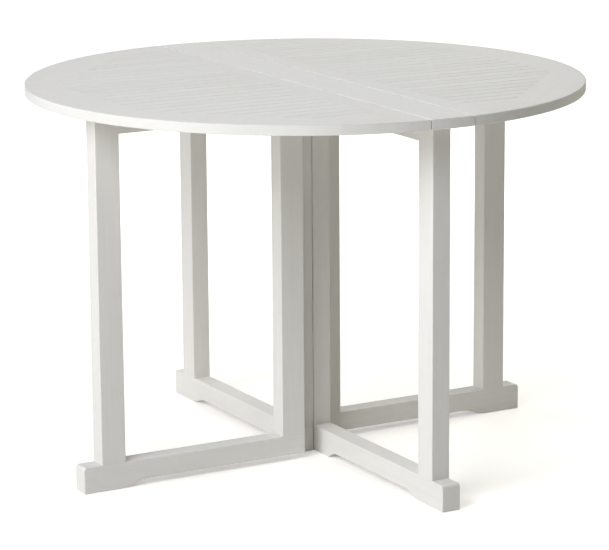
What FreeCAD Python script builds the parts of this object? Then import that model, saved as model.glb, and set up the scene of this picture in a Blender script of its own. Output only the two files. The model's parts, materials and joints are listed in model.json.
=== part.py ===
"""Round gateleg table: two drop leaves, two fixed frames and two swinging gates, in painted wood.

Frame: millimetres, +Z up, origin on the floor under the middle of the top.
+X runs along the centre strip towards the front frame, +Y towards the right leaf.
The whole table repeats itself when it is turned half a turn about Z, so every piece is made once,
for the front frame, the left gate or the left leaf, and turned by 180 degrees for its partner.
"""
import FreeCAD, Part
import math
import os

V = FreeCAD.Vector

# ---- driving dimensions ------------------------------------------------------------------------
TOP_DIAMETER = 1100.0
TABLE_HEIGHT = 755.0
TOP_THICKNESS = 20.0
STRIP_WIDTH = 90.0
SEAM_GAP = 2.5              # between the strip and a leaf
HINGE_RAIL_WIDTH = 42.5     # the leaf's straight rail along the seam
RIM_INRADIUS = 455.0        # centre to the straight inner chords of the rim, an octagon
SLAT_PITCH = 35.0
SLAT_WIDTH = 33.0
SLAT_THICKNESS = 13.0
TONGUE = 8.0                # slat tongue length into the rim's groove
TONGUE_LEVELS = (11.0, 16.0)  # bottom and top of the groove, above the underside
BATTEN_Y = (-295.0, -255.0)

MEMBER_WIDTH = 51.0         # legs and posts, seen on the frame's wide face
MEMBER_THICKNESS = 39.0     # every member, across the frame
RAIL_DEPTH = 42.0           # fixed frames' top rails
GATE_RAIL_DEPTH = 38.0
GATE_RAIL_DROP = 4.0        # gate rails pass under the leaf hinges
GATE_TOP_GAP = 0.5          # gate legs to the underside of a leaf
FOOT_HEIGHT = 52.5          # top of the foot rails
FOOT_CLEARANCE = 12.5       # floor to the raised part of a foot rail
POST_GAP = 1.0              # between the two fixed frames
LEG_OUTER = 476.0           # table centre to a leg's outer face
TOE_END = 514.0
TOE_CORNER = 7.0            # rounding of a toe's top corner
PAD_LENGTH = 80.0
OGEE_LENGTH = 57.5
INNER_PAD_END = 74.0
INNER_OGEE_LENGTH = 42.0
TENON_LENGTH = 25.0
TENON_THICKNESS = 12.0
TENON_SHOULDER = 8.0
EASE = 2.0                  # rounding of the wood's long edges
SLAT_EASE = 0.5

LEAF_BARREL = 2.5           # radius of the leaf hinges' knuckles
GATE_BARREL = 3.0
PIN_RADIUS = 1.2
BORE_RADIUS = 1.25
BARREL_ROOM = 0.5           # cleared round a barrel in wood and plates
HINGE_LENGTH = 60.0
KNUCKLE_LENGTH = 15.0       # each of the two outer knuckles
KNUCKLE_GAP = 0.4
PLATE_REACH = 24.0          # hinge axis to a plate's far edge
LEAF_PLATE = 1.5            # thickness of the leaf hinge plates
GATE_PLATE = 1.8
PLATE_CORNER = 4.0          # rounding of a plate's outer corners
GATE_HINGE_SPACE = 4.0      # rear post to a folded gate, filled by two plates
LEAF_HINGE_X = (-330.0, 330.0)
GATE_HINGE_Z = (150.0, 610.0)
HINGE_SCREW_STEP = 20.0
SCREW_REACH = 0.56          # how far out along a plate its screws sit
SCREW_RADIUS = 1.6
SCREW_HEAD_RADIUS = 3.2
SCREW_PLAY = 0.05           # radial room round fasteners, in the wood
HINGE_SCREW_LENGTH = 13.0
RECESS_REACH = 0.53         # cross recess: arm length and width in head radii
RECESS_WIDTH = 0.28
RECESS_DEPTH = 1.3

BOLT_RADIUS = 3.0
BOLT_HEAD_RADIUS = 5.0
BOLT_HEAD_HEIGHT = 4.0
BOLT_SINK = 6.0
BOLT_SINK_RADIUS = 7.0
BOLT_Z = (110.0, 390.0, 660.0)
SPACER_RADIUS = 9.0
STRIP_SCREW_X = (95.0, 255.0, 415.0)
STRIP_SCREW_RADIUS = 2.2
STRIP_SCREW_HEAD = 4.2
STRIP_SCREW_HEAD_HEIGHT = 3.0
STRIP_SCREW_SINK = 24.0
STRIP_SCREW_SINK_RADIUS = 5.0
STRIP_SCREW_BITE = 14.0     # into the strip
STOP_SIZE = (22.0, 38.0, 6.0)
STOP_GAP = 0.3              # open gate to its stop block
STOP_INSET = 7.0            # rim's inner chord to the stop block
STOP_SCREW_INSET = 9.0
STOP_SCREW_LENGTH = 18.0

# ---- worked out --------------------------------------------------------------------------------
RADIUS = TOP_DIAMETER / 2
UNDERSIDE = TABLE_HEIGHT - TOP_THICKNESS
STRIP_EDGE = STRIP_WIDTH / 2
LEAF_EDGE = STRIP_EDGE + SEAM_GAP
RAIL_EDGE = LEAF_EDGE + HINGE_RAIL_WIDTH
LEAF_AXIS_Y = -(STRIP_EDGE + SEAM_GAP / 2)
HALF_POST = MEMBER_WIDTH / 2
SLAT_UNDERSIDE = TABLE_HEIGHT - SLAT_THICKNESS
SLAT_COUNT = round(2 * RIM_INRADIUS / SLAT_PITCH)
FIXED_FACE = POST_GAP / 2                               # inner face of the front frame
GATE_AXIS_X = HALF_POST + GATE_HINGE_SPACE / 2
GATE_AXIS_Y = -(FIXED_FACE + MEMBER_THICKNESS + GATE_BARREL)
GATE_INNER = HALF_POST + GATE_HINGE_SPACE               # inner end of the folded left gate
STOP_FACE_X = GATE_AXIS_X + GATE_BARREL - STOP_GAP
TONGUE_Z = (UNDERSIDE + TONGUE_LEVELS[0], UNDERSIDE + TONGUE_LEVELS[1])
Z_AXIS = V(0, 0, 1)
ORIGIN = V(0, 0, 0)
CUT_ROOM = 20.0             # how far cutting regions reach past the solids they cut


def box(x, y, z):
    """A box from three (low, high) pairs."""
    return Part.makeBox(x[1] - x[0], y[1] - y[0], z[1] - z[0], V(x[0], y[0], z[0]))


def rod(radius, start, end):
    """A round bar between two points."""
    start, end = V(*start), V(*end)
    return Part.makeCylinder(radius, (end - start).Length, start, end - start)


def prism(points, z):
    """A straight-sided plan outline raised between two heights."""
    wire = Part.makePolygon([V(px, py, z[0]) for px, py in points + points[:1]])
    return Part.Face(wire).extrude(V(0, 0, z[1] - z[0]))


def half_turn(shape):
    """The same piece on the other side of the table."""
    turned = shape.copy()
    turned.rotate(ORIGIN, Z_AXIS, 180)
    return turned


def open_gate(shape):
    """From folded beside the front frame to square across the left leaf."""
    turned = shape.copy()
    turned.rotate(V(GATE_AXIS_X, GATE_AXIS_Y, 0), Z_AXIS, -90)
    return turned


def group(shapes):
    """Identical pieces in one node, each still its own solid."""
    return Part.makeCompound([solid for shape in shapes for solid in shape.Solids])


# ---- frames ------------------------------------------------------------------------------------
def ogee(x, run, rise):
    """Two arcs from the pad at (x, 0) up to (x + run, rise), level at both ends."""
    radius = (run * run + rise * rise) / (4 * rise)
    half = math.asin(abs(run) / 2 / radius)
    side = math.copysign(1, run)

    def lower(angle):
        return V(x + side * radius * math.sin(angle), 0, radius * (1 - math.cos(angle)))

    def upper(angle):
        return V(x + run - side * radius * math.sin(angle), 0, rise - radius * (1 - math.cos(angle)))

    return [Part.Arc(lower(0), lower(half / 2), lower(half)).toShape(),
            Part.Arc(upper(half), upper(half / 2), upper(0)).toShape()]


def toe_corner():
    """The quarter circle between a toe's top and its end."""
    x, z = TOE_END - TOE_CORNER, FOOT_HEIGHT - TOE_CORNER
    middle = TOE_CORNER * math.sqrt(0.5)
    return [Part.Arc(V(x, 0, FOOT_HEIGHT), V(x + middle, 0, z + middle), V(TOE_END, 0, z)).toShape()]


def path(points):
    """Straight edges through (x, z) points in the frame's plane."""
    corners = [V(px, 0, pz) for px, pz in points]
    return [Part.LineSegment(a, b).toShape() for a, b in zip(corners, corners[1:])]


def frame_layout(gate):
    """The heights and ends that differ between a fixed frame and a gate."""
    leg_top = UNDERSIDE - (GATE_TOP_GAP if gate else 0)
    rail_top = UNDERSIDE - (GATE_RAIL_DROP if gate else 0)
    return {
        "inner": GATE_INNER if gate else -HALF_POST,
        "face": -(FIXED_FACE + MEMBER_THICKNESS) if gate else FIXED_FACE,
        "leg_top": leg_top,
        "rail": (rail_top - (GATE_RAIL_DEPTH if gate else RAIL_DEPTH), rail_top),
        "inner_pad": not gate,
    }


def frame_blank(lay):
    """The whole frame as one eased slab, before it is divided into its members."""
    inner, leg_in = lay["inner"], LEG_OUTER - MEMBER_WIDTH
    post_out = inner + MEMBER_WIDTH
    pad_end = TOE_END - PAD_LENGTH
    rise_end = pad_end - OGEE_LENGTH
    under = ogee(pad_end, -OGEE_LENGTH, FOOT_CLEARANCE)
    if lay["inner_pad"]:
        ogee_top = INNER_PAD_END + INNER_OGEE_LENGTH
        under += path([(rise_end, FOOT_CLEARANCE), (ogee_top, FOOT_CLEARANCE)])
        under += ogee(INNER_PAD_END, INNER_OGEE_LENGTH, FOOT_CLEARANCE)
        under += path([(INNER_PAD_END, 0), (inner, 0)])
        heel = (inner, 0)
    else:
        under += path([(rise_end, FOOT_CLEARANCE), (inner, FOOT_CLEARANCE)])
        heel = (inner, FOOT_CLEARANCE)
    top = [(inner, lay["leg_top"]), (LEG_OUTER, lay["leg_top"])]
    if lay["rail"][1] < lay["leg_top"]:
        top[1:1] = [(post_out, lay["leg_top"]), (post_out, lay["rail"][1]),
                    (leg_in, lay["rail"][1]), (leg_in, lay["leg_top"])]
    top += [(LEG_OUTER, FOOT_HEIGHT), (TOE_END - TOE_CORNER, FOOT_HEIGHT)]
    front = path([(TOE_END, FOOT_HEIGHT - TOE_CORNER), (TOE_END, 0), (pad_end, 0)])
    outer = Part.Wire(Part.__sortEdges__(under + path([heel] + top) + toe_corner() + front))
    window = [(post_out, FOOT_HEIGHT), (leg_in, FOOT_HEIGHT), (leg_in, lay["rail"][0]),
              (post_out, lay["rail"][0]), (post_out, FOOT_HEIGHT)]
    face = Part.Face([outer, Part.Wire(path(window))])
    slab = face.extrude(V(0, MEMBER_THICKNESS, 0))
    slab.translate(V(0, lay["face"], 0))
    return slab.makeFillet(EASE, [edge for edge in slab.Edges if not runs_across(edge)])


def runs_across(edge):
    """True for edges through the frame's thickness, except the one under the toe's end."""
    ends = [vertex.Point for vertex in edge.Vertexes]
    if abs(ends[0].y - ends[-1].y) < MEMBER_THICKNESS / 2:
        return False
    return ends[0].z > EASE or ends[0].x < TOE_END - EASE


def tenons(lay):
    """Tenon boxes: two under the legs into the foot rail, two at the ends of the top rail."""
    middle = lay["face"] + MEMBER_THICKNESS / 2
    across = (middle - TENON_THICKNESS / 2, middle + TENON_THICKNESS / 2)
    rail_z = (lay["rail"][0] + TENON_SHOULDER, lay["rail"][1] - TENON_SHOULDER)
    post_out, leg_in = lay["inner"] + MEMBER_WIDTH, LEG_OUTER - MEMBER_WIDTH

    def under(start):
        width = (start + TENON_SHOULDER, start + MEMBER_WIDTH - TENON_SHOULDER)
        return box(width, across, (FOOT_HEIGHT - TENON_LENGTH, FOOT_HEIGHT))

    return {"post": under(lay["inner"]), "leg": under(leg_in),
            "rail_in": box((post_out - TENON_LENGTH, post_out), across, rail_z),
            "rail_out": box((leg_in, leg_in + TENON_LENGTH), across, rail_z)}


def frame_members(gate):
    """Outer leg, inner post, top rail and foot rail of one frame."""
    lay = frame_layout(gate)
    blank, tenon = frame_blank(lay), tenons(lay)
    y = (lay["face"] - CUT_ROOM, lay["face"] + MEMBER_THICKNESS + CUT_ROOM)
    above = (FOOT_HEIGHT, UNDERSIDE + CUT_ROOM)
    post_out, leg_in = lay["inner"] + MEMBER_WIDTH, LEG_OUTER - MEMBER_WIDTH
    foot = blank.common(box((lay["inner"] - CUT_ROOM, TOE_END + CUT_ROOM), y, (-CUT_ROOM, FOOT_HEIGHT)))
    post = blank.common(box((lay["inner"] - CUT_ROOM, post_out), y, above))
    leg = blank.common(box((leg_in, LEG_OUTER + CUT_ROOM), y, above))
    rail = blank.common(box((post_out, leg_in), y, above))
    return {
        "outer_leg": leg.fuse(tenon["leg"]).cut(tenon["rail_out"]),
        "inner_post": post.fuse(tenon["post"]).cut(tenon["rail_in"]),
        "top_rail": rail.fuse(tenon["rail_in"]).fuse(tenon["rail_out"]),
        "foot_rail": foot.cut(tenon["leg"]).cut(tenon["post"]),
    }


# ---- fasteners ---------------------------------------------------------------------------------
def recess(head_radius, seat, direction):
    """The cross that a driver fits, sunk into a screw head from `seat`."""
    reach, half = head_radius * RECESS_REACH, head_radius * RECESS_WIDTH / 2
    depth = (-RECESS_DEPTH, RECESS_DEPTH)
    cross = box((-reach, reach), (-half, half), depth).fuse(box((-half, half), (-reach, reach), depth))
    cross.Placement = FreeCAD.Placement(V(*seat), FreeCAD.Rotation(Z_AXIS, V(*direction)))
    return cross


def countersunk(shank_radius, head_radius, length, seat, direction, play=0.0):
    """A screw whose flat head lies on `seat` and whose shank runs along `direction`.

    With some play it is the hole that the screw needs, and has no recess.
    """
    start, along = V(*seat), V(*direction)
    depth = head_radius - shank_radius
    head = Part.makeCone(head_radius + play, shank_radius + play, depth, start, along)
    shank = Part.makeCylinder(shank_radius + play, length - depth + play, start + along * depth, along)
    body = head.fuse(shank)
    return body if play else body.cut(recess(head_radius, seat, direction))


def hinge_screw(seat, direction, play=0.0):
    """A hinge screw, or with some play the hole that it needs."""
    return countersunk(SCREW_RADIUS, SCREW_HEAD_RADIUS, HINGE_SCREW_LENGTH, seat, direction, play)


def hexagon(radius, start, end):
    """A hexagonal head or nut along Y."""
    corners = [V(radius * math.cos(math.radians(60 * k)), 0, radius * math.sin(math.radians(60 * k)))
               for k in range(7)]
    face = Part.Face(Part.makePolygon(corners))
    face.translate(V(*start))
    return face.extrude(V(*end) - V(*start))


def post_bolts():
    """Bolts, nuts and spacing washers that join the two inner posts, and the holes they need."""
    outer = FIXED_FACE + MEMBER_THICKNESS
    sunk = outer - BOLT_SINK
    seat = sunk + BOLT_HEAD_HEIGHT
    made = {"bolts": [], "nuts": [], "spacers": [], "holes": []}
    for z in BOLT_Z:
        shank = rod(BOLT_RADIUS, (0, -sunk, z), (0, seat, z))
        bore = rod(BOLT_RADIUS + SCREW_PLAY, (0, -outer, z), (0, outer, z))
        made["bolts"].append(shank.fuse(hexagon(BOLT_HEAD_RADIUS, (0, -seat, z), (0, -sunk, z))))
        made["nuts"].append(hexagon(BOLT_HEAD_RADIUS, (0, sunk, z), (0, seat, z)).cut(bore))
        made["spacers"].append(rod(SPACER_RADIUS, (0, -FIXED_FACE, z), (0, FIXED_FACE, z)).cut(bore))
        made["holes"] += [bore, rod(BOLT_SINK_RADIUS, (0, -outer, z), (0, -sunk, z)),
                          rod(BOLT_SINK_RADIUS, (0, sunk, z), (0, outer, z))]
    return {name: group(shapes) for name, shapes in made.items()}


def strip_screws():
    """Long screws up through the front frame's top rail into the strip, and their stepped holes."""
    y = FIXED_FACE + MEMBER_THICKNESS / 2
    rail_low, tip = UNDERSIDE - RAIL_DEPTH, UNDERSIDE + STRIP_SCREW_BITE
    seat = rail_low + STRIP_SCREW_SINK
    screws, holes = [], []
    for x in STRIP_SCREW_X:
        shank_from = seat + STRIP_SCREW_HEAD_HEIGHT
        head = rod(STRIP_SCREW_HEAD, (x, y, seat), (x, y, shank_from))
        head = head.cut(recess(STRIP_SCREW_HEAD, (x, y, seat), (0, 0, 1)))
        screws.append(head.fuse(rod(STRIP_SCREW_RADIUS, (x, y, shank_from), (x, y, tip))))
        room = STRIP_SCREW_RADIUS + SCREW_PLAY
        holes += [rod(STRIP_SCREW_SINK_RADIUS, (x, y, rail_low), (x, y, shank_from)),
                  rod(room, (x, y, shank_from), (x, y, tip + room))]
    return group(screws), group(holes)


# ---- hinges ------------------------------------------------------------------------------------
def local_hinge(barrel, thickness, side, outer_knuckles, offset):
    """One hinge leaf about the local Z axis: a plate on the `side` of X = 0, along +Y, and its knuckles.

    The plate starts `offset` from the axis, and its far face, at offset + thickness, lies on the wood.
    """
    half = HINGE_LENGTH / 2
    inner = half - KNUCKLE_LENGTH
    if outer_knuckles:
        own, other = [(-half, -inner), (inner, half)], [(-inner - KNUCKLE_GAP, inner + KNUCKLE_GAP)]
    else:
        own = [(-inner + KNUCKLE_GAP, inner - KNUCKLE_GAP)]
        other = [(-half - CUT_ROOM, -inner), (inner, half + CUT_ROOM)]
    faces = sorted((side * offset, side * (offset + thickness)))
    blade = box(faces, ((BORE_RADIUS + barrel) / 2, PLATE_REACH), (-half, half))
    outer = [edge for edge in blade.Edges if edge.BoundBox.YMin > barrel and edge.BoundBox.ZLength < thickness]
    blade = blade.makeFillet(PLATE_CORNER, outer)
    for low, high in other:
        blade = blade.cut(rod(barrel + BARREL_ROOM, (0, 0, low), (0, 0, high)))
    for low, high in own:
        blade = blade.fuse(rod(barrel, (0, 0, low), (0, 0, high)))
    blade = blade.cut(rod(BORE_RADIUS, (0, 0, -half - CUT_ROOM), (0, 0, half + CUT_ROOM)))
    return blade.cut(local_screws(side, offset, SCREW_PLAY))


def local_screws(side, offset, play=0.0):
    """The three screws of one hinge leaf, or with some play their holes."""
    return group([hinge_screw((side * offset, PLATE_REACH * SCREW_REACH, step * HINGE_SCREW_STEP),
                              (side, 0, 0), play) for step in (-1, 0, 1)])


def local_room(barrel):
    """The space that a barrel needs in the wood."""
    half = HINGE_LENGTH / 2 + 1
    return rod(barrel + BARREL_ROOM, (0, 0, -half), (0, 0, half))


def place_gate_hinge(shape):
    """Copies of a local hinge part at both heights of the left gate's axis, gate folded."""
    copies = []
    for z in GATE_HINGE_Z:
        copy = shape.copy()
        copy.translate(V(GATE_AXIS_X, GATE_AXIS_Y, z))
        copies.append(copy)
    return group(copies)


def gate_hinges():
    """Hinge parts between the rear post and the left gate."""
    gap = GATE_HINGE_SPACE / 2 - GATE_PLATE
    half = HINGE_LENGTH / 2
    return {
        "post_plates": place_gate_hinge(local_hinge(GATE_BARREL, GATE_PLATE, -1, True, gap)),
        "gate_plates": open_gate(place_gate_hinge(local_hinge(GATE_BARREL, GATE_PLATE, 1, False, gap))),
        "pins": place_gate_hinge(rod(PIN_RADIUS, (0, 0, -half), (0, 0, half))),
        "post_screws": place_gate_hinge(local_screws(-1, gap)),
        "gate_screws": open_gate(place_gate_hinge(local_screws(1, gap))),
        "post_holes": place_gate_hinge(local_screws(-1, gap, SCREW_PLAY)),
        "gate_holes": place_gate_hinge(local_screws(1, gap, SCREW_PLAY)),
    }


def place_leaf_hinge(shape, to_leaf):
    """Copies of a local hinge part along the left seam, its plate flat under the strip or the leaf."""
    lay_flat = FreeCAD.Rotation(V(0, 1, 0), 90)
    swing = FreeCAD.Rotation(V(1, 0, 0), 180 if to_leaf else 0)
    copies = []
    for x in LEAF_HINGE_X:
        copy = shape.copy()
        copy.Placement = FreeCAD.Placement(V(x, LEAF_AXIS_Y, UNDERSIDE), swing.multiply(lay_flat))
        copies.append(copy)
    return group(copies)


def leaf_hinges():
    """Hinge parts along the left seam; the plates are let into the underside."""
    half = HINGE_LENGTH / 2
    made = {"pins": place_leaf_hinge(rod(PIN_RADIUS, (0, 0, -half), (0, 0, half)), False),
            "room": place_leaf_hinge(local_room(LEAF_BARREL), False)}
    for to_leaf in (False, True):
        name = "leaf" if to_leaf else "strip"
        side = 1 if to_leaf else -1
        recess = box(sorted((0, side * LEAF_PLATE)), (0, PLATE_REACH + SCREW_PLAY), (-half, half))
        blade = local_hinge(LEAF_BARREL, LEAF_PLATE, side, not to_leaf, 0)
        made[name + "_plates"] = place_leaf_hinge(blade, to_leaf)
        made[name + "_screws"] = place_leaf_hinge(local_screws(side, 0), to_leaf)
        made[name + "_holes"] = place_leaf_hinge(local_screws(side, 0, SCREW_PLAY).fuse(recess), to_leaf)
    return made


# ---- top ---------------------------------------------------------------------------------------
def disc(z=(UNDERSIDE, TABLE_HEIGHT)):
    return Part.makeCylinder(RADIUS, z[1] - z[0], V(0, 0, z[0]))


def eased_board(region):
    """The part of the top inside a region, with its upper and lower edges eased."""
    board = disc().common(region)
    level = [edge for edge in board.Edges
             if abs(edge.Vertexes[0].Z - edge.Vertexes[-1].Z) < EASE and edge.BoundBox.ZLength < EASE]
    return board.makeFillet(EASE, level)


def octagon(inradius):
    """Corners of a regular octagon with a side across each axis."""
    reach = inradius / math.cos(math.pi / 8)
    return [(reach * math.cos(math.pi / 8 * (2 * k + 1)), reach * math.sin(math.pi / 8 * (2 * k + 1)))
            for k in range(8)]


def leaf_field(inradius, edge, z):
    """The leaf's inside: within the octagon and beyond the hinge rail."""
    wide = RADIUS + CUT_ROOM
    return prism(octagon(inradius), z).common(box((-wide, wide), (-wide, -edge), z))


def wedge(start, end):
    """A plan sector between two angles in degrees, taller than the top."""
    reach = 2 * RADIUS
    angles = [math.radians(start), math.radians((start + end) / 2), math.radians(end)]
    points = [(0, 0)] + [(reach * math.cos(a), reach * math.sin(a)) for a in angles]
    return prism(points, (UNDERSIDE - CUT_ROOM, TABLE_HEIGHT + CUT_ROOM))


def leaf_boards():
    """The left leaf's hinge rail and five rim pieces, grooved for the slats."""
    wide = RADIUS + CUT_ROOM
    tall = (UNDERSIDE - CUT_ROOM, TABLE_HEIGHT + CUT_ROOM)
    board = eased_board(box((-wide, wide), (-wide, -LEAF_EDGE), tall))
    groove = leaf_field(RIM_INRADIUS + TONGUE, RAIL_EDGE - TONGUE, TONGUE_Z)
    boards = {"hinge_rail": board.common(box((-wide, wide), (-RAIL_EDGE, -STRIP_EDGE), tall)).cut(groove)}
    rim = board.common(box((-wide, wide), (-wide, -RAIL_EDGE), tall))
    rim = rim.cut(prism(octagon(RIM_INRADIUS), tall)).cut(groove)
    joints = {"rim_end_rear": (180, 202.5), "rim_side_rear": (202.5, 247.5), "rim_middle": (247.5, 292.5),
              "rim_side_front": (292.5, 337.5), "rim_end_front": (337.5, 360)}
    for name, (start, end) in joints.items():
        boards[name] = rim.common(wedge(start, end))
    return boards


def slat_centres():
    return [SLAT_PITCH * (k - (SLAT_COUNT - 1) / 2) for k in range(SLAT_COUNT)]


def leaf_slats():
    """The left leaf's slats, square to the seam, each with a tongue at both ends."""
    full = leaf_field(RIM_INRADIUS, RAIL_EDGE, (SLAT_UNDERSIDE, TABLE_HEIGHT))
    tongues = leaf_field(RIM_INRADIUS + TONGUE, RAIL_EDGE - TONGUE, TONGUE_Z)
    slats = []
    for centre in slat_centres():
        across = (centre - SLAT_WIDTH / 2, centre + SLAT_WIDTH / 2)
        along = (-RADIUS, 0)
        bar = box(across, along, (SLAT_UNDERSIDE, TABLE_HEIGHT))
        long_edges = [edge for edge in bar.Edges if edge.BoundBox.YLength > EASE]
        bar = bar.makeFillet(SLAT_EASE, long_edges)
        slats.append(bar.common(full).fuse(box(across, along, TONGUE_Z).common(tongues)))
    return group(slats)


def leaf_batten():
    """The flat batten under the left leaf's slats, and one screw up into each slat it crosses."""
    z = (UNDERSIDE, SLAT_UNDERSIDE)
    batten = box((-RADIUS, RADIUS), BATTEN_Y, z).common(leaf_field(RIM_INRADIUS, RAIL_EDGE, z))
    y = sum(BATTEN_Y) / 2
    reach = batten.BoundBox.XLength / 2 - (BATTEN_Y[1] - BATTEN_Y[0]) / 2
    places = [x for x in slat_centres() if abs(x) < reach - SLAT_WIDTH / 2]
    screws = group([hinge_screw((x, y, UNDERSIDE), (0, 0, 1)) for x in places])
    holes = group([hinge_screw((x, y, UNDERSIDE), (0, 0, 1), SCREW_PLAY) for x in places])
    return batten, screws, holes


def gate_stop():
    """The block under the left leaf that the open gate rests against, with its two screws."""
    width, length, height = STOP_SIZE
    outer = -(RIM_INRADIUS + STOP_INSET)
    z = (UNDERSIDE - height, UNDERSIDE)
    block = box((STOP_FACE_X - width, STOP_FACE_X), (outer - length, outer), z)
    block = block.makeFillet(EASE, [e for e in block.Edges if e.BoundBox.Center.z < z[1] - EASE])
    x = STOP_FACE_X - width / 2
    seats = [(x, outer - STOP_SCREW_INSET, z[0]), (x, outer - length + STOP_SCREW_INSET, z[0])]
    sizes = (SCREW_RADIUS, SCREW_HEAD_RADIUS, STOP_SCREW_LENGTH)
    screws = group([countersunk(*sizes, seat, (0, 0, 1)) for seat in seats])
    holes = group([countersunk(*sizes, seat, (0, 0, 1), SCREW_PLAY) for seat in seats])
    return block.cut(holes), screws, holes


# ---- assembly ----------------------------------------------------------------------------------
def fixed_nodes(nodes):
    """The two fixed frames, the strip and what holds them together."""
    front = frame_members(gate=False)
    bolts, hinges = post_bolts(), gate_hinges()
    screws, holes = strip_screws()
    seam = leaf_hinges()
    front["top_rail"] = front["top_rail"].cut(holes)
    front["inner_post"] = front["inner_post"].cut(bolts["holes"]).cut(half_turn(hinges["post_holes"]))
    for name, shape in front.items():
        nodes["front_frame_" + name] = shape
        nodes["rear_frame_" + name] = half_turn(shape)
    strip = eased_board(box((-RADIUS, RADIUS), (-STRIP_EDGE, STRIP_EDGE), (UNDERSIDE, TABLE_HEIGHT)))
    for cutter in (holes, seam["strip_holes"], seam["room"]):
        strip = strip.cut(cutter).cut(half_turn(cutter))
    nodes["centre_strip"] = strip
    for name in ("bolts", "nuts", "spacers"):
        nodes["post_" + name] = bolts[name]
    pairs = {"strip_fixing_screws": screws,
             "strip_hinge_plates": seam["strip_plates"], "strip_hinge_screws": seam["strip_screws"],
             "leaf_hinge_pins": seam["pins"],
             "post_hinge_plates": hinges["post_plates"], "post_hinge_screws": hinges["post_screws"],
             "gate_hinge_pins": hinges["pins"]}
    for name, shape in pairs.items():
        nodes[name] = group([shape, half_turn(shape)])


def gate_nodes(nodes):
    """The two swinging gates, open, with their half of each hinge."""
    hinges = gate_hinges()
    gate = frame_members(gate=True)
    gate["inner_post"] = gate["inner_post"].cut(hinges["gate_holes"])
    pieces = {name: open_gate(shape) for name, shape in gate.items()}
    pieces["hinge_plates"] = hinges["gate_plates"]
    pieces["hinge_screws"] = hinges["gate_screws"]
    for name, shape in pieces.items():
        nodes["left_gate_" + name] = shape
        nodes["right_gate_" + name] = half_turn(shape)


def leaf_nodes(nodes):
    """The two leaves, each with its rail, rim, slats, batten, gate stop and half of each hinge."""
    seam = leaf_hinges()
    pieces = leaf_boards()
    pieces["hinge_rail"] = pieces["hinge_rail"].cut(seam["leaf_holes"]).cut(seam["room"])
    batten, batten_screws, batten_holes = leaf_batten()
    stop, stop_screws, stop_holes = gate_stop()
    pieces["rim_middle"] = pieces["rim_middle"].cut(stop_holes)
    pieces["slats"] = group([slat.cut(batten_holes) for slat in leaf_slats().Solids])
    pieces["batten"] = batten.cut(batten_holes)
    pieces["batten_screws"] = batten_screws
    pieces["gate_stop"] = stop
    pieces["gate_stop_screws"] = stop_screws
    pieces["hinge_plates"] = seam["leaf_plates"]
    pieces["hinge_screws"] = seam["leaf_screws"]
    swapped = {"front": "rear", "rear": "front"}
    for name, shape in pieces.items():
        nodes["left_leaf_" + name] = shape
        words = [swapped.get(word, word) for word in name.split("_")]
        nodes["right_leaf_" + "_".join(words)] = half_turn(shape)


def main():
    nodes = {}
    fixed_nodes(nodes)
    gate_nodes(nodes)
    leaf_nodes(nodes)
    os.makedirs("parts", exist_ok=True)
    for name, shape in nodes.items():
        shape.exportStep(os.path.join("parts", name + ".step"))
    print(len(nodes), "nodes")


main()
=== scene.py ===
"""Looks of the white gateleg table: painted wood, zinc-plated steel, and a plain pale studio.

Everything is in metres in the table's own frame: +Z up, origin on the floor under the middle of the top,
+X along the centre strip towards the front frame and +Y towards the right leaf.
"""
import json
import math
import bmesh
import bpy
from mathutils import Euler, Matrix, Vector


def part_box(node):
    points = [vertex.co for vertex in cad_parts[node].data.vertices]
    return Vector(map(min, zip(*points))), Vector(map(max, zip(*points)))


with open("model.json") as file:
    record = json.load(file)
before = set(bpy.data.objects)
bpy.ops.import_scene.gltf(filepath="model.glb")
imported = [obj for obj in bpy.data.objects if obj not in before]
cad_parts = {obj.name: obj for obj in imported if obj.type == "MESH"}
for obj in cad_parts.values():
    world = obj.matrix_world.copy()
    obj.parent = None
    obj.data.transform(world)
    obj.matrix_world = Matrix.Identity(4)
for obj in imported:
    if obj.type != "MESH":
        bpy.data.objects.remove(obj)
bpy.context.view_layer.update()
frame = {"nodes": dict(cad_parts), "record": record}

# ---- camera: a long lens in front of the table, looking slightly down ------------------------------
CAMERA_TURN = math.radians(60.76)       # from the -Y axis towards +X
CAMERA_DISTANCE = 5.606                 # over the floor, from the middle of the table
CAMERA_HEIGHT = 1.6285
CAMERA_DIP = math.radians(12.78)        # below the horizon
CAMERA_ROLL = math.radians(-0.40)
CAMERA_YAW = math.radians(-0.04)
FOCAL_LENGTH = 170.2                    # mm, on a 36 mm sensor
SENSOR_WIDTH = 36.0

# ---- studio: name, degrees to the camera's right, degrees up, watts, colour ------------------------
SOFTBOXES = (
    ("key", -30, 35, 168.0, (0.91, 0.92, 1.00)),
    ("low_left", -50, 10, 71.0, (1.00, 1.00, 0.95)),
    ("far_left", -120, 15, 54.0, (0.84, 0.86, 1.00)),
    ("left_high", -120, 45, 20.0, (1.00, 0.90, 0.84)),
    ("right_behind", 120, 40, 95.0, (1.00, 0.99, 0.91)),
    ("behind_high", 180, 50, 44.0, (1.00, 0.99, 0.86)),
    ("behind_low", 180, 20, 18.0, (0.85, 0.86, 1.00)),
    ("right_high", 60, 40, 7.0, (1.00, 1.00, 0.85)),
)
SOFTBOX_SIDE = 2.6
SOFTBOX_DISTANCE = 5.0
TABLE_MIDDLE = 0.5                      # height that the softboxes face
FLOOR_NEAR, FLOOR_FAR = 0.3, 2.5        # the floor's own glow grows between these distances
FLOOR_GLOW = (0.30, 1.00)
FLOOR_RADIUS, FLOOR_SIDES = 60.0, 96
FLOOR_PALE, FLOOR_DEEP = (0.92, 0.90, 0.86), (0.90, 0.88, 0.84)
FLOOR_CLOUD, FLOOR_CLOUD_DETAIL = 1.2, 3.0
FLOOR_ROUGHNESS = 0.8
WHITE = (1.0, 1.0, 1.0)

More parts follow.
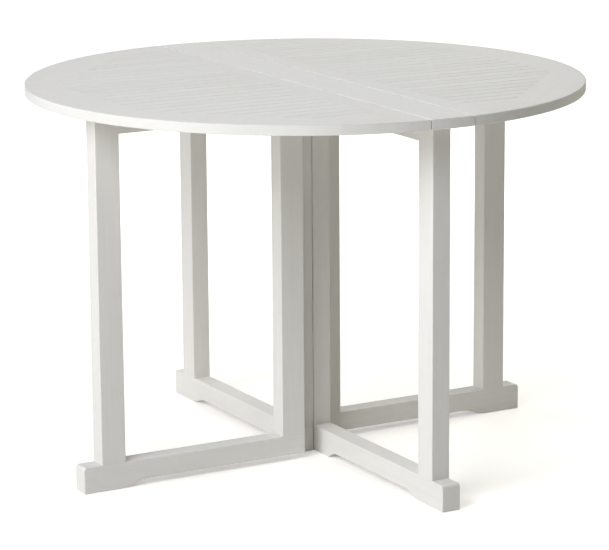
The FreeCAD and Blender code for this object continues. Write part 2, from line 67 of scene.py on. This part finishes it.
# ---- finish: colours, and the softening of sharp edges ---------------------------------------------
PAINT = (0.800, 0.798, 0.760)
PAINT_DEEP = (0.745, 0.738, 0.690)
PAINT_THIN = (0.640, 0.620, 0.555)
ZINC = (0.620, 0.620, 0.600)
ZINC_DULL = (0.430, 0.430, 0.415)
WOOD_EASE, ENAMEL_EASE, ZINC_EASE = 0.0006, 0.0005, 0.0004
EDGE_LEVELS = (0.995, 0.90)             # cosine of the rounding that is no edge, and a full edge
EDGE_SAMPLES = 6
WOOD_RELIEF = (0.6, 0.0003)             # strength and depth of the bumps
STEEL_RELIEF = (0.3, 0.0001)

# ---- painted wood: features a metre along and across the grain, and the noise's detail -------------
FIGURE = (1.3, 16.0, 2.0)
STREAKS = (2.5, 130.0, 4.0)
PORES = (90.0, 1500.0, 2.0)
BRUSH_MARKS = (12.0, 620.0, 3.0)
WORN_PATCHES = (6.0, 3.0)               # the same both ways
RINGS, RING_HALF = 9.0, 0.5             # growth rings in the figure's whole range
SLAT_PITCH = 0.035
BOARD_SHIFT = (3.1, 2.3, 1.7)           # furthest shift of the grain pattern between boards

# Shares of each feature in the tone and in the relief, and levels that stretch to a range.
STREAK_TONE, BOARD_TONE, RING_TONE = 0.55, 0.35, 0.25
STREAK_RELIEF, RING_RELIEF, BRUSH_RELIEF, PORE_RELIEF = 0.9, 0.5, 0.45, 0.7
TONE_LEVELS = (0.22, 0.85)              # all PAINT, and all PAINT_DEEP
PORE_LEVELS, PORE_TONE = (0.60, 0.74), 0.30
WEAR_LEVELS, WEAR = (0.35, 0.65), (0.25, 0.80)
SATIN_LEVELS, SATIN_ROUGHNESS = (0.7, 1.3), (0.33, 0.49)

# ---- steel: features a metre, with the noise's detail, and levels as above -------------------------
KNOCKS, KNOCK_LEVELS = (260.0, 3.0), (0.56, 0.62)
ENAMEL_PEEL = (900.0, 2.0)
ENAMEL_PATCHES = (25.0, 2.0)
ENAMEL_LEVELS, ENAMEL_ROUGHNESS = (0.3, 0.7), (0.28, 0.40)
HINGE_SPANGLE, FASTENER_SPANGLE = 350.0, 700.0
ROLLING, ROLLING_DETAIL = (900.0, 900.0, 60.0), 2.0
# the edge share below is a painted highlight: zinc made lighter along sharp edges
SPANGLE_TONE, ROLLING_TONE, EDGE_HIGHLIGHT = 0.5, 0.4, 0.5
ZINC_LEVELS, ZINC_ROUGHNESS = (0.4, 1.6), (0.26, 0.46)

# How each wooden node's grain runs: an angle about +Z in degrees from +X, or None for upright.
ALONG_X, ALONG_Y, UPRIGHT = 0.0, 90.0, None
SLANTED = 45.0                          # either way, for the rim's side boards

MIX_FIRST, MIX_SECOND, MIX_RESULT = 6, 7, 2     # a Mix node's colour sockets


class Graph:
    """A material's node tree. Inputs given as sockets are linked, and other values are set."""

    def __init__(self, name):
        self.material = bpy.data.materials.new(name)
        self.material.use_nodes = True
        self.tree = self.material.node_tree
        self.shader = self.tree.nodes["Principled BSDF"]

    def put(self, socket, value):
        if isinstance(value, bpy.types.NodeSocket):
            self.tree.links.new(value, socket)
        elif socket.type == "RGBA" and len(value) == 3:
            socket.default_value = (*value, 1.0)
        else:
            socket.default_value = value

    def node(self, kind, inputs=None, **settings):
        """Adds a node, and returns it. Inputs are keyed by socket name or number."""
        made = self.tree.nodes.new("ShaderNode" + kind)
        for key, value in settings.items():
            setattr(made, key, value)
        for key, value in (inputs or {}).items():
            self.put(made.inputs[key], value)
        return made

    def maths(self, operation, *values):
        return self.node("Math", dict(enumerate(values)), operation=operation).outputs[0]

    def vector(self, operation, *values):
        return self.node("VectorMath", dict(enumerate(values)), operation=operation).outputs[0]

    def noise(self, vector, scale, detail):
        return self.node("TexNoise", {"Vector": vector, "Scale": scale, "Detail": detail}).outputs["Fac"]

    def spread(self, value, low, high, to_low=0.0, to_high=1.0):
        """Stretches the range low..high to to_low..to_high, with the ends held."""
        made = self.node("MapRange", {"Value": value, "From Min": low, "From Max": high,
                                      "To Min": to_low, "To Max": to_high})
        return made.outputs["Result"]

    def blend(self, share, first, second):
        made = self.node("Mix", {"Factor": share}, data_type="RGBA")
        self.put(made.inputs[MIX_FIRST], first)
        self.put(made.inputs[MIX_SECOND], second)
        return made.outputs[MIX_RESULT]

    def bump(self, height, relief, normal):
        strength, depth = relief
        made = self.node("Bump", {"Height": height, "Strength": strength, "Distance": depth,
                                  "Normal": normal})
        return made.outputs["Normal"]

    def finish(self, **inputs):
        """Feeds the shader, and returns the material. An underscore stands for a socket name's space."""
        for name, value in inputs.items():
            self.put(self.shader.inputs[name.replace("_", " ")], value)
        return self.material


def grain_space(graph, angle, slatted):
    """Object coordinates turned so that X runs along the grain, and a number for each board.

    The pattern is shifted from board to board, so that no streak runs on across a joint.
    """
    place = graph.node("TexCoord").outputs["Object"]
    if angle is UPRIGHT:
        axis, turn = "Y_AXIS", math.pi / 2
    else:
        axis, turn = "Z_AXIS", -math.radians(angle)
    turned = graph.node("VectorRotate", {"Vector": place, "Angle": turn}, rotation_type=axis)
    board = graph.node("ObjectInfo").outputs["Random"]
    if slatted:
        across = graph.node("SeparateXYZ", {0: place}).outputs["X"]
        slat = graph.maths("FLOOR", graph.maths("DIVIDE", across, SLAT_PITCH))
        own = graph.node("TexWhiteNoise", {"W": slat}, noise_dimensions="1D").outputs["Value"]
        board = graph.maths("FRACT", graph.maths("ADD", board, own))
    shift = graph.node("VectorMath", {0: BOARD_SHIFT, "Scale": board}, operation="SCALE").outputs[0]
    return graph.vector("ADD", turned.outputs["Vector"], shift), board


def stretched(graph, space, feature):
    """Noise with the feature's own count a metre along and across the grain."""
    along, across, detail = feature
    return graph.noise(graph.vector("MULTIPLY", space, (along, across, across)), 1.0, detail)


def arris(graph, radius):
    """The surface normal rounded at sharp edges, and a mask that is 1 on those edges."""
    normal = graph.node("NewGeometry").outputs["Normal"]
    rounded = graph.node("Bevel", {"Radius": radius}, samples=EDGE_SAMPLES).outputs["Normal"]
    facing = graph.node("VectorMath", {0: normal, 1: rounded}, operation="DOT_PRODUCT").outputs["Value"]
    return rounded, graph.spread(facing, *EDGE_LEVELS)


def painted_wood(name, angle, slatted=False):
    """White satin paint over hardwood: growth rings, pores and brush marks show faintly through it."""
    graph = Graph(name)
    space, board = grain_space(graph, angle, slatted)
    rounded, edge = arris(graph, WOOD_EASE)
    figure = stretched(graph, space, FIGURE)
    rings = graph.maths("PINGPONG", graph.maths("MULTIPLY", figure, RINGS), RING_HALF)
    streaks = stretched(graph, space, STREAKS)
    pores = graph.spread(stretched(graph, space, PORES), *PORE_LEVELS)
    brushed = stretched(graph, space, BRUSH_MARKS)
    patches = graph.noise(space, *WORN_PATCHES)
    tone = graph.maths("MULTIPLY_ADD", streaks, STREAK_TONE, graph.maths("MULTIPLY", board, BOARD_TONE))
    tone = graph.maths("MULTIPLY_ADD", rings, RING_TONE, tone)
    colour = graph.blend(graph.spread(tone, *TONE_LEVELS), PAINT, PAINT_DEEP)
    colour = graph.blend(graph.maths("MULTIPLY", pores, PORE_TONE), colour, PAINT_THIN)
    thin = graph.maths("MULTIPLY", edge, graph.spread(patches, *WEAR_LEVELS, *WEAR))
    colour = graph.blend(thin, colour, PAINT_THIN)
    rough = graph.spread(graph.maths("ADD", brushed, patches), *SATIN_LEVELS, *SATIN_ROUGHNESS)
    relief = graph.maths("MULTIPLY_ADD", rings, RING_RELIEF, graph.maths("MULTIPLY", streaks, STREAK_RELIEF))
    relief = graph.maths("MULTIPLY_ADD", brushed, BRUSH_RELIEF, relief)
    relief = graph.maths("SUBTRACT", relief, graph.maths("MULTIPLY", pores, PORE_RELIEF))
    return graph.finish(Base_Color=colour, Roughness=rough, Normal=graph.bump(relief, WOOD_RELIEF, rounded))


def painted_steel(name):
    """Sprayed white enamel: a faint orange peel, and bare steel where the edges have been knocked."""
    graph = Graph(name)
    place = graph.node("TexCoord").outputs["Object"]
    rounded, edge = arris(graph, ENAMEL_EASE)
    knocks = graph.spread(graph.noise(place, *KNOCKS), *KNOCK_LEVELS)
    bare = graph.maths("MULTIPLY", edge, knocks)
    peel = graph.noise(place, *ENAMEL_PEEL)
    patches = graph.noise(place, *ENAMEL_PATCHES)
    colour = graph.blend(bare, graph.blend(patches, PAINT, PAINT_DEEP), ZINC_DULL)
    rough = graph.spread(peel, *ENAMEL_LEVELS, *ENAMEL_ROUGHNESS)
    return graph.finish(Base_Color=colour, Roughness=rough, Metallic=bare,
                        Normal=graph.bump(peel, STEEL_RELIEF, rounded))


def zinc(name, spangle):
    """Zinc-plated steel: rolled streaks, a faint spangle of that many grains a metre, and a painted
    highlight on the edges.
    """
    graph = Graph(name)
    place = graph.node("TexCoord").outputs["Object"]
    rounded, edge = arris(graph, ZINC_EASE)
    grains = graph.node("TexVoronoi", {"Vector": place, "Scale": spangle}).outputs["Color"]
    shade = graph.node("SeparateXYZ", {0: grains}).outputs["X"]
    rolled = graph.noise(graph.vector("MULTIPLY", place, ROLLING), 1.0, ROLLING_DETAIL)
    dull = graph.maths("MULTIPLY_ADD", shade, SPANGLE_TONE, graph.maths("MULTIPLY", rolled, ROLLING_TONE))
    colour = graph.blend(dull, ZINC, ZINC_DULL)
    # painted highlight: the sharp edges go back to the lighter zinc colour, as if light caught them
    colour = graph.blend(graph.maths("MULTIPLY", edge, EDGE_HIGHLIGHT), colour, ZINC)
    rough = graph.spread(graph.maths("ADD", shade, rolled), *ZINC_LEVELS, *ZINC_ROUGHNESS)
    return graph.finish(Base_Color=colour, Roughness=rough, Metallic=1.0,
                        Normal=graph.bump(rolled, STEEL_RELIEF, rounded))


def grain_of(node):
    """The way a wooden node's grain runs at rest."""
    if node.endswith(("outer_leg", "inner_post")):
        return UPRIGHT
    if "rim_end" in node or node.endswith("slats") or node.endswith("gate_stop"):
        return ALONG_Y
    if "rim_side" in node:
        low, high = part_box(node)
        middle = (low + high) / 2
        return SLANTED if middle.x * middle.y < 0 else -SLANTED
    if "gate" in node:
        return ALONG_Y
    return ALONG_X


def dress_nodes():
    """Gives each CAD node its finished material."""
    slots = {row["node"]: row["material_slot"] for row in frame["record"]["subparts"]}
    steels = {"hinge_steel": zinc("zinc_hinges", HINGE_SPANGLE),
              "fastener_steel": zinc("zinc_fasteners", FASTENER_SPANGLE),
              "painted_hinge": painted_steel("enamelled_hinges")}
    woods = {}
    for node, piece in frame["nodes"].items():
        material = steels.get(slots[node])
        if material is None:
            kind = (grain_of(node), node.endswith("slats"))
            if kind not in woods:
                way = "upright" if kind[0] is UPRIGHT else f"{kind[0]:.0f}"
                woods[kind] = painted_wood("paint_" + way + ("_slats" if kind[1] else ""), *kind)
            material = woods[kind]
        for slot in piece.material_slots:
            slot.material = material


def studio_floor():
    """A pale floor that looks evenly white a few steps away, with the table's soft shadow near it."""
    mesh = bpy.data.meshes.new("studio_floor")
    sheet = bmesh.new()
    bmesh.ops.create_circle(sheet, cap_ends=True, radius=FLOOR_RADIUS, segments=FLOOR_SIDES)
    sheet.to_mesh(mesh)
    sheet.free()
    floor = bpy.data.objects.new("studio_floor", mesh)
    bpy.context.scene.collection.objects.link(floor)
    graph = Graph("pale_floor")
    place = graph.node("TexCoord").outputs["Object"]
    away = graph.node("VectorMath", {0: place}, operation="LENGTH").outputs["Value"]
    glow = graph.spread(away, FLOOR_NEAR, FLOOR_FAR, *FLOOR_GLOW)
    seen = graph.maths("MULTIPLY", glow, graph.node("LightPath").outputs["Is Camera Ray"])
    cloud = graph.noise(place, FLOOR_CLOUD, FLOOR_CLOUD_DETAIL)
    colour = graph.blend(cloud, FLOOR_PALE, FLOOR_DEEP)
    mesh.materials.append(graph.finish(Base_Color=colour, Roughness=FLOOR_ROUGHNESS, Emission_Color=WHITE,
                                       Emission_Strength=seen))


def softbox(name, turn, rise, watts, colour):
    """A square softbox that faces the table, `turn` degrees to the right of the camera and `rise` up."""
    turn, rise = CAMERA_TURN + math.radians(turn), math.radians(rise)
    out = Vector((math.sin(turn) * math.cos(rise), -math.cos(turn) * math.cos(rise), math.sin(rise)))
    light = bpy.data.lights.new(name, "AREA")
    light.size = SOFTBOX_SIDE
    light.energy = watts
    light.color = colour
    lamp = bpy.data.objects.new(name, light)
    lamp.location = Vector((0, 0, TABLE_MIDDLE)) + out * SOFTBOX_DISTANCE
    lamp.rotation_euler = (-out).to_track_quat("-Z", "Y").to_euler()
    lamp.visible_camera = False
    bpy.context.scene.collection.objects.link(lamp)


def studio_light():
    """Softboxes, most of them to the camera's left or behind the table, and a backdrop only it sees."""
    for setting in SOFTBOXES:
        softbox(*setting)
    world = bpy.data.worlds.new("surroundings")
    world.use_nodes = True
    tree = world.node_tree
    seen = tree.nodes.new("ShaderNodeLightPath")
    tree.links.new(seen.outputs["Is Camera Ray"], tree.nodes["Background"].inputs["Strength"])
    tree.nodes["Background"].inputs["Color"].default_value = (*WHITE, 1.0)
    bpy.context.scene.world = world


def camera():
    """The camera at rest, aimed slightly down at the table."""
    lens = bpy.data.cameras.new("camera")
    lens.sensor_width = SENSOR_WIDTH
    lens.lens = FOCAL_LENGTH
    stand = bpy.data.objects.new("camera", lens)
    stand.location = (CAMERA_DISTANCE * math.sin(CAMERA_TURN), -CAMERA_DISTANCE * math.cos(CAMERA_TURN),
                      CAMERA_HEIGHT)
    aim = Euler((math.pi / 2 - CAMERA_DIP, 0.0, CAMERA_TURN - CAMERA_YAW), "XYZ").to_matrix()
    roll = Euler((0.0, 0.0, CAMERA_ROLL), "XYZ").to_matrix()
    stand.rotation_euler = (aim @ roll).to_euler()
    bpy.context.scene.collection.objects.link(stand)
    bpy.context.scene.camera = stand


def main():
    dress_nodes()
    studio_floor()
    studio_light()
    camera()
    bpy.context.scene.view_settings.view_transform = "Standard"


main()
